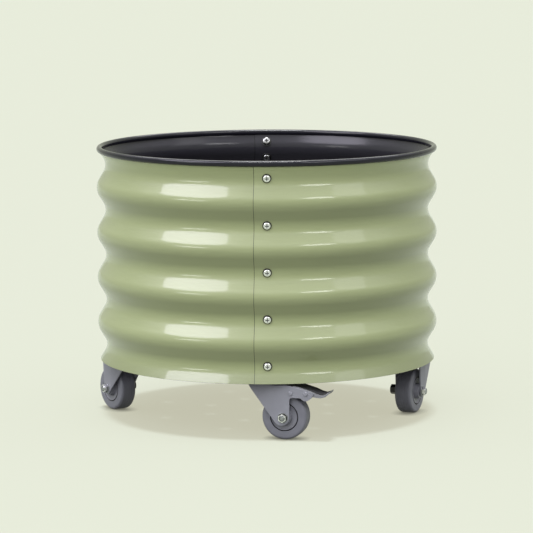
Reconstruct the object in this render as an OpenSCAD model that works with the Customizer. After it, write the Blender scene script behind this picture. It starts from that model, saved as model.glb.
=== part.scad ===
// Rolling planter: a round corrugated steel tub on a base pan with four swivel casters.
// Millimetres, +Z up. The origin is on the floor under the middle of the tub, and its front is -Y.
// A caster is drawn in its own frame: X from the swivel axis along the trail, Y along the axle,
// Z up from the floor.

/* [Tub wall] */
// Outer diameter over the crests of the corrugation
crest_d = 610; // [560:2:760]
// Height from one crest to the next
wave_pitch = 80.9; // [72:0.1:96]
// Depth of the corrugation, from crest to valley
wave_depth = 15.5; // [13:0.5:19]
// Number of whole crests
wave_count = 4; // [2:1:6]
// Slope of the flanks from upright, in degrees
flank_angle = 31; // [29:1:35]
// Thickness of the sheet
sheet_t = 0.8; // [0.6:0.1:1.4]
// Width of the lap at the front and the back seam
lap_w = 43; // [30:1:70]
// Straight length of the skirt's flank below the lowest valley
skirt_flank = 15; // [8:0.5:20]
// Straight length of the lip's flank above the highest valley
lip_flank = 5.8; // [3:0.2:9]

/* [Rim edging] */
// Thickness of the round edging
edging_d = 10.6; // [9:0.2:16]
// Height of the edging above the sheet's edge
edging_cover = 3.1; // [2:0.1:5]

/* [Seam fasteners] */
// Diameter of the seam bolts
seam_bolt_d = 6; // [4:0.5:8]
// Diameter of the pan heads
pan_head_d = 13; // [10:0.5:15]
// Height of the pan heads
pan_head_h = 3.8; // [2.5:0.1:5]
// Diameter of the outer sealing washers
seal_d = 15.7; // [15:0.1:18]
// Thickness of a sealing washer at its middle
seal_t = 2; // [1.6:0.1:3]
// Diameter of the domed heads inside the wall
inner_head_d = 15; // [14:0.2:18]
// Diameter of the inner sealing washers
inner_seal_d = 18.6; // [18:0.2:22]

/* [Base] */
// Thickness of the base pan
pan_t = 1.5; // [1:0.1:3]
// Straight length of the pan's flared edge
pan_flare = 8; // [4:0.5:12]
// Thickness of the cross plate that carries the casters
cross_t = 3; // [2:0.5:6]
// Width of the cross plate's arms
cross_w = 46; // [36:1:52]
// How far the wall hangs below the pan's underside
skirt_hang = 7; // [5:0.2:9]
// Diameter of the middle drain hole
drain_d = 25; // [16:1:40]
// Diameter of the small drain holes
weep_d = 10; // [6:1:16]
// Number of small drain holes
weep_count = 8; // [4:4:16]

/* [Casters] */
// Distance from the swivel axes to the base pan's wall
swivel_inset = 26; // [24:0.5:60]
// Shift of the casters to the tub's right
base_shift = 5; // [0:0.5:6]
// Horizontal distance from a swivel axis to the axle
trail = 28; // [25:0.5:31]
// Clearance between a tyre and the head of the swivel bolt above it
head_clearance = 6.75; // [5.5:0.05:10]
// Thickness of the fork's sheet
fork_t = 2.5; // [2:0.1:3]
// Clearance between a tyre and the fork's leg
leg_clearance = 6.6; // [2.5:0.1:8]
// Diameter of the swivel bolts
swivel_bolt_d = 12; // [10:0.5:12]
// Diameter of the balls
ball_d = 4.8; // [4.4:0.1:5.2]
// Number of balls in a race
ball_count = 16; // [8:1:18]

/* [Wheels] */
// Diameter of a wheel
wheel_d = 80; // [76:1:84]
// Width of a tyre
wheel_w = 30; // [26:0.5:32]
// Diameter of a hub where the tyre starts
hub_d = 48; // [42:0.5:56]
// Diameter of the axle bolts
axle_d = 8; // [6:0.5:9]
// Outer diameter of the sleeve on the axle
sleeve_d = 12; // [11:0.2:14]

/* [Foot brake] */
// Travel of the brake pedal, in degrees
brake_travel = 7; // [3:1:7]
// Clearance between the pedal and the fork's leg
pedal_clearance = 0.7; // [0.4:0.1:2]
// Thickness of the pedal's sheet
pedal_t = 1.6; // [1.2:0.1:1.7]

/* [Hidden] */

// Clearances and one overrun for all cuts
seat_gap = 0.3;
fit_gap = 0.05;
bolt_gap = 0.3;
turn_gap = 0.15;
curve_gap = 0.15;
over = 5;
bend_steps = 8;
fillet_steps = 5;

// Colours
sage = [0.58, 0.63, 0.47];
charcoal = [0.13, 0.13, 0.14];
caster_grey = [0.50, 0.50, 0.53];
dark_grey = [0.24, 0.24, 0.26];
bright = [0.80, 0.81, 0.82];
black = [0.06, 0.06, 0.06];
zinc = [0.62, 0.64, 0.66];

// Corrugation: equal arcs joined by straight flanks, as a line through the middle of the sheet
wave_r = (wave_pitch / 2 * tan(flank_angle) - wave_depth) / (2 * (1 / cos(flank_angle) - 1));
crest_r = crest_d / 2 - sheet_t / 2;
valley_r = crest_r - wave_depth;
lip_end_angle = 4;

// Stack of a caster, from the wheel up: bolt head, fork, race of balls, cross plate
swivel_head_h = 5;
head_flange_t = 2.6;
fork_roof_t = 1.2 * fork_t;
cup_t = 2.4;
ball_sink = 0.35;
fork_roof = wheel_d + head_clearance + swivel_head_h + head_flange_t + turn_gap;
fork_h = fork_roof + fork_roof_t;
race_h = cup_t + ball_d - 2 * ball_sink;
caster_h = fork_h + race_h;
pan_z = caster_h + cross_t;
skirt_z = pan_z - skirt_hang;
valley_z0 = skirt_z + wave_r * sin(flank_angle) + skirt_flank * cos(flank_angle);
function valley_z(k) = valley_z0 + k * wave_pitch;

// A point on the sheet's middle line with the outward normal's angle
function valley_point(k, a) =
    [valley_r + wave_r - wave_r * cos(a), valley_z(k) + wave_r * sin(a), -a];
function crest_point(k, a) =
    [crest_r - wave_r + wave_r * cos(a), valley_z(k) + wave_pitch / 2 + wave_r * sin(a), a];
function slide_along(p, side, l) = [p.x + l * sin(flank_angle), p.y + side * l * cos(flank_angle), p.z];
lip_start = slide_along(valley_point(wave_count, flank_angle), 1, lip_flank);
lip_centre = [lip_start.x - wave_r * cos(flank_angle), lip_start.y + wave_r * sin(flank_angle)];
function lip_point(a) = [lip_centre.x + wave_r * cos(a), lip_centre.y + wave_r * sin(a), a];
function bend(i) = -flank_angle + 2 * flank_angle * i / bend_steps;
function lip_bend(i) = -flank_angle + (flank_angle - lip_end_angle) * i / bend_steps;
wall_line = concat(
    [slide_along(valley_point(0, -flank_angle), -1, skirt_flank)],
    [for (k = [0:wave_count]) each concat(
        [for (i = [0:bend_steps]) valley_point(k, bend(i))],
        k < wave_count ? [for (i = [0:bend_steps]) crest_point(k, bend(i))] : [])],
    [for (i = [0:bend_steps]) lip_point(lip_bend(i))]);
function beside(p, l) = [p.x + l * cos(p.z), p.y + l * sin(p.z)];
function backwards(p) = [for (i = [len(p) - 1:-1:0]) p[i]];
function strip(p, a, b) = concat([for (q = p) beside(q, a)], backwards([for (q = p) beside(q, b)]));
lip_r = lip_point(-lip_end_angle).x;
lip_top_z = lip_point(-lip_end_angle).y;

// Each panel is one half cylinder whose centre lies off the tub's axis, so that its front end
// laps one panel and its back end tucks under the other
lap_step = sheet_t / cos(flank_angle) + curve_gap;
lap_shift = lap_step / 2;
lap_angle = lap_w / valley_r * 180 / PI;
seam_in_r = valley_r - sheet_t / 2 - lap_shift;

// Rim edging: a round bead with a slot for the sheet
edging_r = edging_d / 2;
edging_z = lip_top_z + seat_gap + edging_cover - edging_r;
slot_in = 2.5;
slot_out = 1.4;
butt_gap = 0.5;

// Seam fasteners: a bolt goes through the wall into a sleeve nut with a domed head. Each sits
// square on the sheet, just above the bottom of its valley. At the back seam the highest valley
// has one on either flank. A place is a point of the wall's middle line.
seat_tilt = 7;
upper_flank_tilt = 25.5;
lower_flank_slide = 5;
front_places = [for (k = [0:wave_count]) valley_point(k, seat_tilt)];
back_places = concat([for (k = [0:wave_count - 1]) valley_point(k, seat_tilt)],
    [valley_point(wave_count, upper_flank_tilt),
     slide_along(valley_point(wave_count, -flank_angle), -1, lower_flank_slide)]);
recess_w = 1.5;
recess_l = 7;
recess_depth = 2.2;
sleeve_nut_d = 9;
inner_seal_t = 1.2;
inner_head_h = 4.4;

// Base pan: a dish whose edge follows the inside of the lowest valley
pan_r = seam_in_r - curve_gap;
pan_bend = 5;
pan_arc_r = valley_r + wave_r - pan_r;
pan_stack = curve_gap + pan_t;
weep_circle_shares = [0.4, 0.7];
swivel_circle_r = pan_r - swivel_inset;
cross_pad_r = swivel_inset;
cross_eye_r = 30;
swivel_washer_d = 28;
swivel_washer_t = 2.5;

// Round stiffening bead pressed up in the pan's floor, inside the ring of washers
bead_w = 10;
bead_rise = 2.5;
bead_gap = 4;
bead_steps = 8;
bead_r = swivel_circle_r - base_shift - swivel_washer_d / 2 - bead_gap - bead_w / 2;
bead_arc_r = (bead_w * bead_w / 4 + bead_rise * bead_rise) / (2 * bead_rise);
bead_z = pan_z + pan_t + bead_rise - bead_arc_r;

// Swivel bolts' nuts
swivel_nut_af = 18;
swivel_nut_h = 10;
swivel_tip = 2;

// Swivel head
swivel_r = swivel_bolt_d / 2;
race_r = 15;
cup_r = 20;
cup_skirt_t = 1.5;
cup_lift = 0.5;
race_z = (fork_h + caster_h - cup_t) / 2;
head_flange_r = 11;
swivel_head_af = 16;
head_chamfer = 20;
nut_chamfer = 25;

// Fork outline. Points above the axle are measured from the top of the wheel.
axle_z = wheel_d / 2;
wheel_r = wheel_d / 2;
fork_w = wheel_w + 2 * leg_clearance + 2 * fork_t;
function from_wheel_top(p) = [trail + p.x, wheel_d + p.y];
leg_boss_r = 14.2;
leg_boss_back = 2.8;
leg_boss_up = 0.3;
leg_boss = [trail - leg_boss_back, axle_z + leg_boss_up];
leg_rear_x = leg_boss.x + leg_boss_r;
fork_front_x = -37;
arch_end = from_wheel_top([31, -4.8]);
arch_fillet = 4.5;
ear_low = from_wheel_top([40, -11.6]);
ear_rear = from_wheel_top([52.2, -3]);
ear_fillet = 8;
arm_line = [[9.6, 16.1], [19, 14.3], [32.6, 11.2], [46.1, 7.4], [54.2, 4.6]];
arm_top = [for (p = arm_line) from_wheel_top(p)];
fork_fold_x = 12;
nose_taper = 5;
fork_nose_w = fork_w - 2 * nose_taper;
fork_edge_r = 3.5;
nose_r = 9;
plain_rear_r = 7;
plain_boss_r = 10;

// Axle
axle_gap = 0.1;
axle_head_af = 15.5;
axle_head_h = 10.7;
axle_nut_af = 13;
axle_nut_h = 5.5;
axle_collar_r = 5.4;
axle_collar_h = 0.7;
axle_washer_d = 18;
axle_washer_t = 1.2;
axle_tip = 0.3;

// Wheel
hub_boss_r = 13;
hub_boss_gap = 0.6;
hub_dish = 2.4;
hub_rim_w = 2.2;
groove_w = 1.1;
groove_depth = 1.5;
shoulder_r = 5;
tread_w = 10;
tread_drop = 0.5;
tyre_gap = 0.05;

// Foot brake, also measured from the top of the wheel
pivot = from_wheel_top([13.3, 2.8]);
guide = from_wheel_top([40.2, 2.8]);
pivot_pin_d = 6;
guide_pin_d = 4;
rivet_head_d = 8;
rivet_head_h = 1.4;
pedal_w = fork_w - 2 * fork_t - 2 * pedal_clearance;
pedal_back = [[6, 9.4], [10, 12.6], [15, 14.9], [20, 15.4], [26, 14.2], [36.3, 11.2], [50, 7.2],
    [60.4, 2.8], [68, 1], [74.6, 3], [81.2, 7]];
pedal_belly = [[79.8, 3.2], [74, -1.6], [66.4, -3.7], [59, -3.4], [51.4, -2.2], [8, -2.2], [5.4, 2]];
pedal_line = [for (p = pedal_back) from_wheel_top(p)];
pedal_low = [for (p = pedal_belly) from_wheel_top(p)];
pedal_tip_r = 12;
pedal_foot_flare = 0.4;
pedal_foot = from_wheel_top([58, 0]);
pad_gap = 0.4;
pad_w = 26;
pad_from = 41;
pad_to = 62;
pad_crown = 3.2;
spring_w = 12;
spring_t = 0.7;
spring_end = from_wheel_top([7, 12.4]);
spring_flat = 10;
spring_reach = 21;
spring_line = [[spring_end.x - spring_reach, fork_roof - 2 * fit_gap],
    [spring_end.x - spring_flat, fork_roof - 2 * fit_gap], spring_end];

// Where the casters stand and how they are turned at rest
corners = ["front", "right", "back", "left"];
corner_angles = [-90, 0, 90, 180];
rest_yaws = [-15.2, -113, 15.2, 124.3];
nut_sides = [-1, 1, 1, 1];

module at_caster(i) {
    translate([base_shift + swivel_circle_r * cos(corner_angles[i]), swivel_circle_r * sin(corner_angles[i]), 0])
        rotate([0, 0, rest_yaws[i]])
            children();
}

module at_every_caster() {
    for (i = [0:len(corners) - 1])
        at_caster(i)
            children();
}

// Polygon with rounded corners: each point is [x, y, corner radius]
function unit(v) = v / norm(v);
function fillet(a, b, c, r) =
    r <= 0 ? [b] :
    let (u = unit(a - b), w = unit(c - b), half = acos(u * w) / 2,
        mid = b + unit(u + w) * r / sin(half),
        from = b + u * r / tan(half) - mid,
        to = b + w * r / tan(half) - mid,
        a0 = atan2(from.y, from.x),
        turn = (atan2(to.y, to.x) - a0 + 540) % 360 - 180)
    [for (i = [0:fillet_steps]) mid + r * [cos(a0 + turn * i / fillet_steps), sin(a0 + turn * i / fillet_steps)]];
function rounded(p) =
    [for (i = [0:len(p) - 1])
        let (a = p[(i + len(p) - 1) % len(p)], b = p[i], c = p[(i + 1) % len(p)])
        each fillet([a.x, a.y], [b.x, b.y], [c.x, c.y], b.z)];

// A side view in the caster's frame, given thickness along the axle
module side_plate(w) {
    rotate([90, 0, 0])
        translate([0, 0, -w / 2])
            linear_extrude(w)
                children();
}

// A pin along the axle's direction at a point of the side view
module cross_pin(p, r, w) {
    translate([p.x, 0, p.y])
        rotate([90, 0, 0])
            translate([0, 0, -w / 2])
                cylinder(r = r, h = w, $fn = 40);
}

module hex_prism(af, h) {
    cylinder(d = af / cos(30), h = h, $fn = 6);
}

// A hexagon whose far corners are turned round
module turned_hex(af, h, crown) {
    intersection() {
        hex_prism(af, h);
        rotate_extrude($fn = 48)
            polygon([[0, 0], [af, 0], [af, h - (af - af / 2) * tan(crown)], [af / 2, h], [0, h]]);
    }
}

// Stands what it holds on the wall's middle line at the front (0) or the back (1), Z outward
module on_wall(side, place) {
    rotate([0, 0, 180 * side])
        translate([0, -place.x, place.y])
            rotate([90 - place.z, 0, 0])
                children();
}

module at_seams() {
    for (place = front_places)
        on_wall(0, place)
            children();
    for (place = back_places)
        on_wall(1, place)
            children();
}

// Distance from the middle line to the lapped sheets' outer or inner face
function wall_half(place) = sheet_t / 2 + lap_shift * cos(place.z);

module sleeve_holes() {
    at_seams()
        cylinder(d = sleeve_nut_d + bolt_gap, h = 4 * over, center = true, $fn = 32);
}

// The front end of the right panel and the back end of the left one lie outside
module wall_panel(side) {
    difference() {
        rotate([0, 0, 180 * side])
            translate([0, -lap_shift, 0])
                rotate([0, 0, -90 - lap_angle / 2])
                    rotate_extrude(angle = 180 + lap_angle, $fn = 128)
                        polygon(strip(wall_line, sheet_t / 2, -sheet_t / 2));
        sleeve_holes();
    }
}

module panel_right() {
    color(sage)
        wall_panel(0);
}

module panel_left() {
    color(sage)
        wall_panel(1);
}

module rim_edging() {
    color(charcoal)
        difference() {
            rotate_extrude($fn = 128)
                difference() {
                    translate([lip_r, edging_z])
                        circle(edging_r, $fn = 32);
                    translate([lip_r - slot_in, edging_z - edging_d])
                        square([slot_in + slot_out, lip_top_z + seat_gap - edging_z + edging_d]);
                }
            translate([-butt_gap / 2, lip_r - edging_d, edging_z - edging_d])
                cube([butt_gap, 2 * edging_d, 2 * edging_d]);
        }
}

// A domed head with a cross recess, Z up from its seat
module cross_head(d, h) {
    difference() {
        rotate_extrude($fn = 40)
            polygon(rounded([[0, 0, 0], [d / 2, 0, 0], [d / 2, h, 0.75 * h], [0, h, 0]]));
        for (a = [0, 90])
            rotate([0, 0, a])
                translate([-recess_l / 2, -recess_w / 2, h - recess_depth])
                    cube([recess_l, recess_w, recess_depth + over]);
    }
}

module seam_bolt(place) {
    half = wall_half(place);
    tip = half + inner_seal_t - seat_gap;
    translate([0, 0, -tip])
        cylinder(d = seam_bolt_d, h = tip + half + seal_t + 2 * fit_gap, $fn = 32);
    translate([0, 0, half + seal_t + fit_gap])
        cross_head(pan_head_d, pan_head_h);
}

module seam_bolts() {
    color(bright) {
        for (place = front_places)
            on_wall(0, place)
                seam_bolt(place);
        for (place = back_places)
            on_wall(1, place)
                seam_bolt(place);
    }
}

// The space outside the wall's outer face, or inside its inner face, at one seam
module wall_side(side, from, to) {
    rotate([0, 0, 180 * side])
        translate([0, from > 0 ? -lap_shift : lap_shift, 0])
            rotate([0, 0, -95])
                rotate_extrude(angle = 10, $fn = 128)
                    polygon(strip(wall_line, from, to));
}

// The space inside the pan's wall
module inside_pan() {
    edge = pan_edge(pan_arc_r + pan_t + fit_gap);
    rotate_extrude($fn = 128)
        polygon(concat([[0, pan_z], [pan_r - pan_t - fit_gap, pan_z]], edge, [[0, edge[len(edge) - 1].y]]));
}

// A disc with the sleeve nut's hole, under whose inner end the nut's head sits
module inner_washer(seat) {
    mirror([0, 0, 1])
        difference() {
            cylinder(d = inner_seal_d, h = seat + inner_seal_t, $fn = 48);
            cylinder(d = sleeve_nut_d + 2 * fit_gap, h = 2 * over, $fn = 32);
        }
}

// The washers are pressed to the sheet, so each follows the curve of its valley
module seam_washers() {
    outer = sheet_t / 2 + fit_gap;
    color(black)
        for (side = [0, 1]) {
            places = side == 0 ? front_places : back_places;
            intersection() {
                for (place = places)
                    on_wall(side, place)
                        difference() {
                            cylinder(d = seal_d, h = wall_half(place) + seal_t, $fn = 48);
                            cylinder(d = seam_bolt_d + 2 * fit_gap, h = over, $fn = 32);
                        }
                wall_side(side, outer, 2 * over);
            }
            intersection() {
                on_wall(side, places[0])
                    inner_washer(wall_half(places[0]) + pan_stack);
                inside_pan();
            }
            intersection() {
                for (k = [1:len(places) - 1])
                    on_wall(side, places[k])
                        inner_washer(wall_half(places[k]));
                wall_side(side, -outer, -2 * over);
            }
        }
}

module seam_nut(place, stack) {
    half = wall_half(place);
    seat = half + stack + inner_seal_t;
    difference() {
        union() {
            translate([0, 0, -seat - fit_gap])
                mirror([0, 0, 1])
                    cross_head(inner_head_d, inner_head_h);
            translate([0, 0, -seat - 2 * fit_gap])
                cylinder(d = sleeve_nut_d, h = seat + 2 * fit_gap + half, $fn = 32);
        }
        translate([0, 0, -seat])
            cylinder(d = seam_bolt_d + 2 * fit_gap, h = seat + half + over, $fn = 32);
    }
}

module seam_nuts() {
    color(bright)
        for (side = [0, 1]) {
            places = side == 0 ? front_places : back_places;
            for (k = [0:len(places) - 1])
                on_wall(side, places[k])
                    seam_nut(places[k], k == 0 ? pan_stack : 0);
        }
}

function pan_curve(r) =
    [for (i = [0:bend_steps / 2]) let (a = 2 * flank_angle * i / bend_steps)
        [valley_r + wave_r - r * cos(a), valley_z0 + r * sin(a)]];
function pan_edge(r) =
    let (p = pan_curve(r), q = p[len(p) - 1])
    concat(p, [[q.x + pan_flare * sin(flank_angle), q.y + pan_flare * cos(flank_angle)]]);

// Arc of the bead of radius r, from one crossing of the level z to the other
function pan_bead(r, z) =
    let (half = acos((z - bead_z) / r))
    [for (i = [0:bead_steps]) let (a = half * (2 * i / bead_steps - 1))
        [bead_r + r * sin(a), bead_z + r * cos(a)]];

module base_pan() {
    under_bead = pan_bead(bead_arc_r - pan_t, pan_z);
    top_bead = pan_bead(bead_arc_r, pan_z + pan_t);
    outer_bend = fillet([0, pan_z], [pan_r, pan_z], [pan_r, valley_z0], pan_bend);
    inner_bend = fillet([0, pan_z + pan_t], [pan_r - pan_t, pan_z + pan_t], [pan_r - pan_t, valley_z0],
        pan_bend - pan_t);
    color(charcoal)
        difference() {
            rotate_extrude($fn = 128)
                polygon(concat([[0, pan_z]], under_bead, outer_bend, pan_edge(pan_arc_r),
                    backwards(concat([[0, pan_z + pan_t]], top_bead, inner_bend,
                        pan_edge(pan_arc_r + pan_t)))));
            translate([0, 0, pan_z - over])
                cylinder(d = drain_d, h = pan_t + 2 * over, $fn = 48);
            for (share = weep_circle_shares)
                for (i = [0:weep_count - 1])
                    rotate([0, 0, (i + 0.5) * 360 / weep_count])
                        translate([pan_r * share, 0, pan_z - over])
                            cylinder(d = weep_d, h = pan_t + 2 * over, $fn = 32);
            at_every_caster()
                translate([0, 0, pan_z - over])
                    cylinder(d = swivel_bolt_d + bolt_gap, h = pan_t + 2 * over, $fn = 32);
            sleeve_holes();
        }
}

module cross_plate() {
    color(charcoal)
        translate([0, 0, caster_h])
            linear_extrude(cross_t)
                difference() {
                    union() {
                        for (i = [0, 1])
                            translate([base_shift, 0])
                                rotate(corner_angles[i])
                                    square([2 * swivel_circle_r, cross_w], center = true);
                        for (i = [0:len(corners) - 1])
                            translate([base_shift, 0])
                                rotate(corner_angles[i])
                                    translate([swivel_circle_r, 0])
                                        circle(cross_pad_r, $fn = 64);
                        translate([base_shift, 0])
                            circle(cross_eye_r + cross_w, $fn = 96);
                    }
                    translate([base_shift, 0])
                        circle(cross_eye_r, $fn = 64);
                    for (i = [0:len(corners) - 1])
                        translate([base_shift, 0])
                            rotate(corner_angles[i])
                                translate([swivel_circle_r, 0])
                                    circle(d = swivel_bolt_d + bolt_gap, $fn = 32);
                }
}

module swivel_bolts() {
    head_z = fork_roof - turn_gap - head_flange_t;
    top_z = pan_z + pan_t + swivel_washer_t + swivel_nut_h + swivel_tip;
    color(zinc)
        at_every_caster()
            union() {
                translate([0, 0, head_z])
                    cylinder(r = head_flange_r, h = head_flange_t, $fn = 48);
                translate([0, 0, head_z - swivel_head_h])
                    hex_prism(swivel_head_af, swivel_head_h);
                translate([0, 0, head_z])
                    cylinder(r = swivel_r, h = top_z - head_z, $fn = 40);
            }
}

module swivel_washers() {
    color(zinc)
        at_every_caster()
            translate([0, 0, pan_z + pan_t])
                difference() {
                    cylinder(d = swivel_washer_d, h = swivel_washer_t, $fn = 48);
                    translate([0, 0, -over])
                        cylinder(d = swivel_bolt_d + bolt_gap, h = swivel_washer_t + 2 * over, $fn = 32);
                }
}

module swivel_nuts() {
    color(zinc)
        at_every_caster()
            translate([0, 0, pan_z + pan_t + swivel_washer_t])
                difference() {
                    turned_hex(swivel_nut_af, swivel_nut_h, head_chamfer);
                    translate([0, 0, -over])
                        cylinder(d = swivel_bolt_d + 2 * fit_gap, h = swivel_nut_h + 2 * over, $fn = 32);
                }
}

// The groove that the balls run in, as a cutter
module race_groove() {
    translate([0, 0, race_z])
        rotate_extrude($fn = 64)
            translate([race_r, 0])
                circle(ball_d / 2 + fit_gap, $fn = 32);
}

module race_cup(i) {
    under_z = caster_h - cup_t;
    rim_z = fork_h + cup_lift;
    color(zinc)
        at_caster(i)
            difference() {
                rotate_extrude($fn = 64)
                    polygon(rounded([[swivel_r + fit_gap, under_z, 0], [cup_r - cup_skirt_t, under_z, 0],
                        [cup_r - cup_skirt_t, rim_z, 0], [cup_r, rim_z, 0],
                        [cup_r, caster_h, cup_skirt_t], [swivel_r + fit_gap, caster_h, 0]]));
                race_groove();
            }
}

module race_balls(i) {
    color(bright)
        at_caster(i)
            for (k = [0:ball_count - 1])
                rotate([0, 0, k * 360 / ball_count])
                    translate([race_r, 0, race_z])
                        sphere(d = ball_d, $fn = 24);
}

// Side view of a fork's leg: a slanted front edge that runs into the axle boss
module leg_outline(braked) {
    boss_r = braked ? leg_boss_r : plain_boss_r;
    from_boss = [fork_front_x, fork_h] - leg_boss;
    tangent = atan2(from_boss.y, from_boss.x) + acos(boss_r / norm(from_boss));
    boss = [for (i = [0:2 * bend_steps]) let (a = tangent + (360 - tangent) * i / (2 * bend_steps))
        leg_boss + boss_r * [cos(a), sin(a)]];
    plain_back = [[leg_rear_x, fork_h, plain_rear_r]];
    braked_back = concat([[leg_rear_x, arch_end.y, arch_fillet], [arch_end.x, arch_end.y, arch_fillet],
        [ear_low.x, ear_low.y, ear_fillet], [ear_rear.x, ear_rear.y, ear_fillet]],
        [for (k = [4:-1:0]) [arm_top[k].x, arm_top[k].y, k == 4 ? arch_fillet / 2 : 0]],
        [[arm_top[0].x - arch_fillet, fork_h, 0]]);
    polygon(rounded(concat([[fork_front_x, fork_h, 0]], [for (p = boss) [p.x, p.y, 0]],
        braked ? braked_back : plain_back)));
}

// Plan of the fork: parallel at the back, narrower towards the nose
module fork_plan(w, nose_w, front, back, r) {
    polygon(rounded([[front, -nose_w / 2, r], [fork_fold_x, -w / 2, 4 * r], [back, -w / 2, 0],
        [back, w / 2, 0], [fork_fold_x, w / 2, 4 * r], [front, nose_w / 2, r]]));
}

module fork(i, braked) {
    back = ear_rear.x + over;
    inner_slope = (fork_w - fork_nose_w) / 2 / (fork_fold_x - fork_front_x);
    color(caster_grey)
        at_caster(i)
            difference() {
                intersection() {
                    side_plate(fork_w)
                        leg_outline(braked);
                    linear_extrude(fork_h)
                        fork_plan(fork_w, fork_nose_w, fork_front_x, back, nose_r);
                    rotate([90, 0, 90])
                        translate([0, 0, fork_front_x - over])
                            linear_extrude(back - fork_front_x + 2 * over)
                                polygon(rounded([[-fork_w / 2, 0, 0], [fork_w / 2, 0, 0],
                                    [fork_w / 2, fork_h, fork_edge_r], [-fork_w / 2, fork_h, fork_edge_r]]));
                }
                linear_extrude(fork_roof)
                    fork_plan(fork_w - 2 * fork_t, fork_nose_w - 2 * fork_t - 2 * over * inner_slope,
                        fork_front_x - over, back + over, 0);
                if (braked)
                    translate([arm_top[0].x - 2 * fork_t, -fork_w / 2 + fork_t, fork_roof - over])
                        cube([back, fork_w - 2 * fork_t, fork_h]);
                translate([0, 0, fork_roof - over])
                    cylinder(r = swivel_r + fit_gap, h = fork_t + 2 * over, $fn = 40);
                race_groove();
                cross_pin([trail, axle_z], axle_d / 2 + axle_gap, fork_w + 2 * over);
                if (braked) {
                    cross_pin(pivot, pivot_pin_d / 2 + fit_gap, fork_w + 2 * over);
                    cross_pin(guide, guide_pin_d / 2 + fit_gap, fork_w + 2 * over);
                }
            }
}

module sleeve(i) {
    inner_w = fork_w - 2 * fork_t - 2 * fit_gap;
    color(zinc)
        at_caster(i)
            difference() {
                cross_pin([trail, axle_z], sleeve_d / 2 - fit_gap, inner_w);
                cross_pin([trail, axle_z], axle_d / 2 + fit_gap, inner_w + 2 * over);
            }
}

// Turns the axle's parts so that their Z runs from the bolt's head to the nut
module along_axle(i) {
    at_caster(i)
        translate([trail, 0, axle_z])
            rotate([-90 * nut_sides[i], 0, 0])
                children();
}

module axle_bolt(i) {
    end_z = fork_w / 2 + axle_washer_t + axle_nut_h + axle_collar_h + axle_tip;
    color(black)
        along_axle(i)
            union() {
                translate([0, 0, -fork_w / 2 - axle_head_h / 2])
                    cylinder(d = axle_d, h = fork_w / 2 + axle_head_h / 2 + end_z, $fn = 40);
                mirror([0, 0, 1])
                    translate([0, 0, fork_w / 2 + fit_gap])
                        rotate([0, 0, 30])
                            turned_hex(axle_head_af, axle_head_h, head_chamfer);
            }
}

module axle_nut(i) {
    hole_r = axle_d / 2 + fit_gap;
    color(bright)
        along_axle(i)
            translate([0, 0, fork_w / 2 + fit_gap])
                difference() {
                    union() {
                        cylinder(d = axle_washer_d, h = axle_washer_t, $fn = 48);
                        translate([0, 0, axle_washer_t])
                            turned_hex(axle_nut_af, axle_nut_h, nut_chamfer);
                        translate([0, 0, axle_washer_t + axle_nut_h])
                            cylinder(r = axle_collar_r, h = axle_collar_h, $fn = 40);
                    }
                    translate([0, 0, -over])
                        cylinder(r = hole_r, h = axle_washer_t + axle_nut_h + axle_collar_h + 2 * over, $fn = 40);
                }
}

// A ring given by half of its section: points are [radius, distance from the middle plane]
module wheel_ring(i, half) {
    at_caster(i)
        translate([trail, 0, axle_z])
            rotate([90, 0, 0])
                rotate_extrude($fn = 96)
                    polygon(rounded(concat(half, backwards([for (p = half) [p.x, -p.y, p.z]]))));
}

module hub(i) {
    boss_y = fork_w / 2 - fork_t - hub_boss_gap;
    face_y = wheel_w / 2;
    hub_r = hub_d / 2;
    color(caster_grey)
        wheel_ring(i, [[sleeve_d / 2, boss_y, 0], [hub_boss_r, boss_y, 1.2 * hub_boss_gap],
            [hub_boss_r + hub_dish / 2, face_y - hub_dish, hub_boss_gap],
            [hub_r - hub_rim_w - groove_w, face_y - 0.6 * hub_dish, hub_boss_gap],
            [hub_r - groove_w, face_y, hub_boss_gap / 2], [hub_r, face_y - groove_depth, 0]]);
}

module tyre(i) {
    bore_r = hub_d / 2 + tyre_gap;
    face_y = wheel_w / 2;
    color(dark_grey)
        wheel_ring(i, [[bore_r, face_y - groove_depth, 0], [bore_r + groove_w, face_y, groove_w / 2],
            [wheel_r - tread_drop, face_y, shoulder_r], [wheel_r, tread_w / 2, 0]]);
}

// The pedal is a channel: a skin whose turned-down edges reach the pivot
module pedal_side(drop) {
    tip = pedal_line[len(pedal_line) - 1];
    heel = pedal_line[0];
    polygon(concat([for (p = pedal_line) [p.x, p.y - drop]],
        drop > 0 ? [[tip.x + over, tip.y - drop], [tip.x + over, -over],
            [heel.x - over, -over], [heel.x - over, heel.y - drop]]
        : pedal_low));
}

module pedal_plan(inset) {
    tip_x = pedal_line[len(pedal_line) - 1].x - inset;
    half = pedal_w / 2 - inset;
    foot = half + pedal_foot_flare;
    linear_extrude(fork_h)
        polygon(rounded([[-over, -half, 0], [pedal_foot.x, -half, 0], [tip_x, -foot, pedal_tip_r],
            [tip_x, foot, pedal_tip_r], [pedal_foot.x, half, 0], [-over, half, 0]]));
}

module brake_pedal(i) {
    reach = norm(guide - pivot);
    color(dark_grey)
        at_caster(i)
            difference() {
                intersection() {
                    side_plate(fork_w)
                        pedal_side(0);
                    pedal_plan(0);
                }
                intersection() {
                    side_plate(fork_w)
                        pedal_side(pedal_t);
                    pedal_plan(pedal_t);
                }
                cross_pin(pivot, pivot_pin_d / 2 + fit_gap, fork_w);
                for (a = [0:brake_travel])
                    cross_pin(pivot + reach * [cos(a), sin(a)], guide_pin_d / 2 + seat_gap, fork_w);
            }
}

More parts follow.
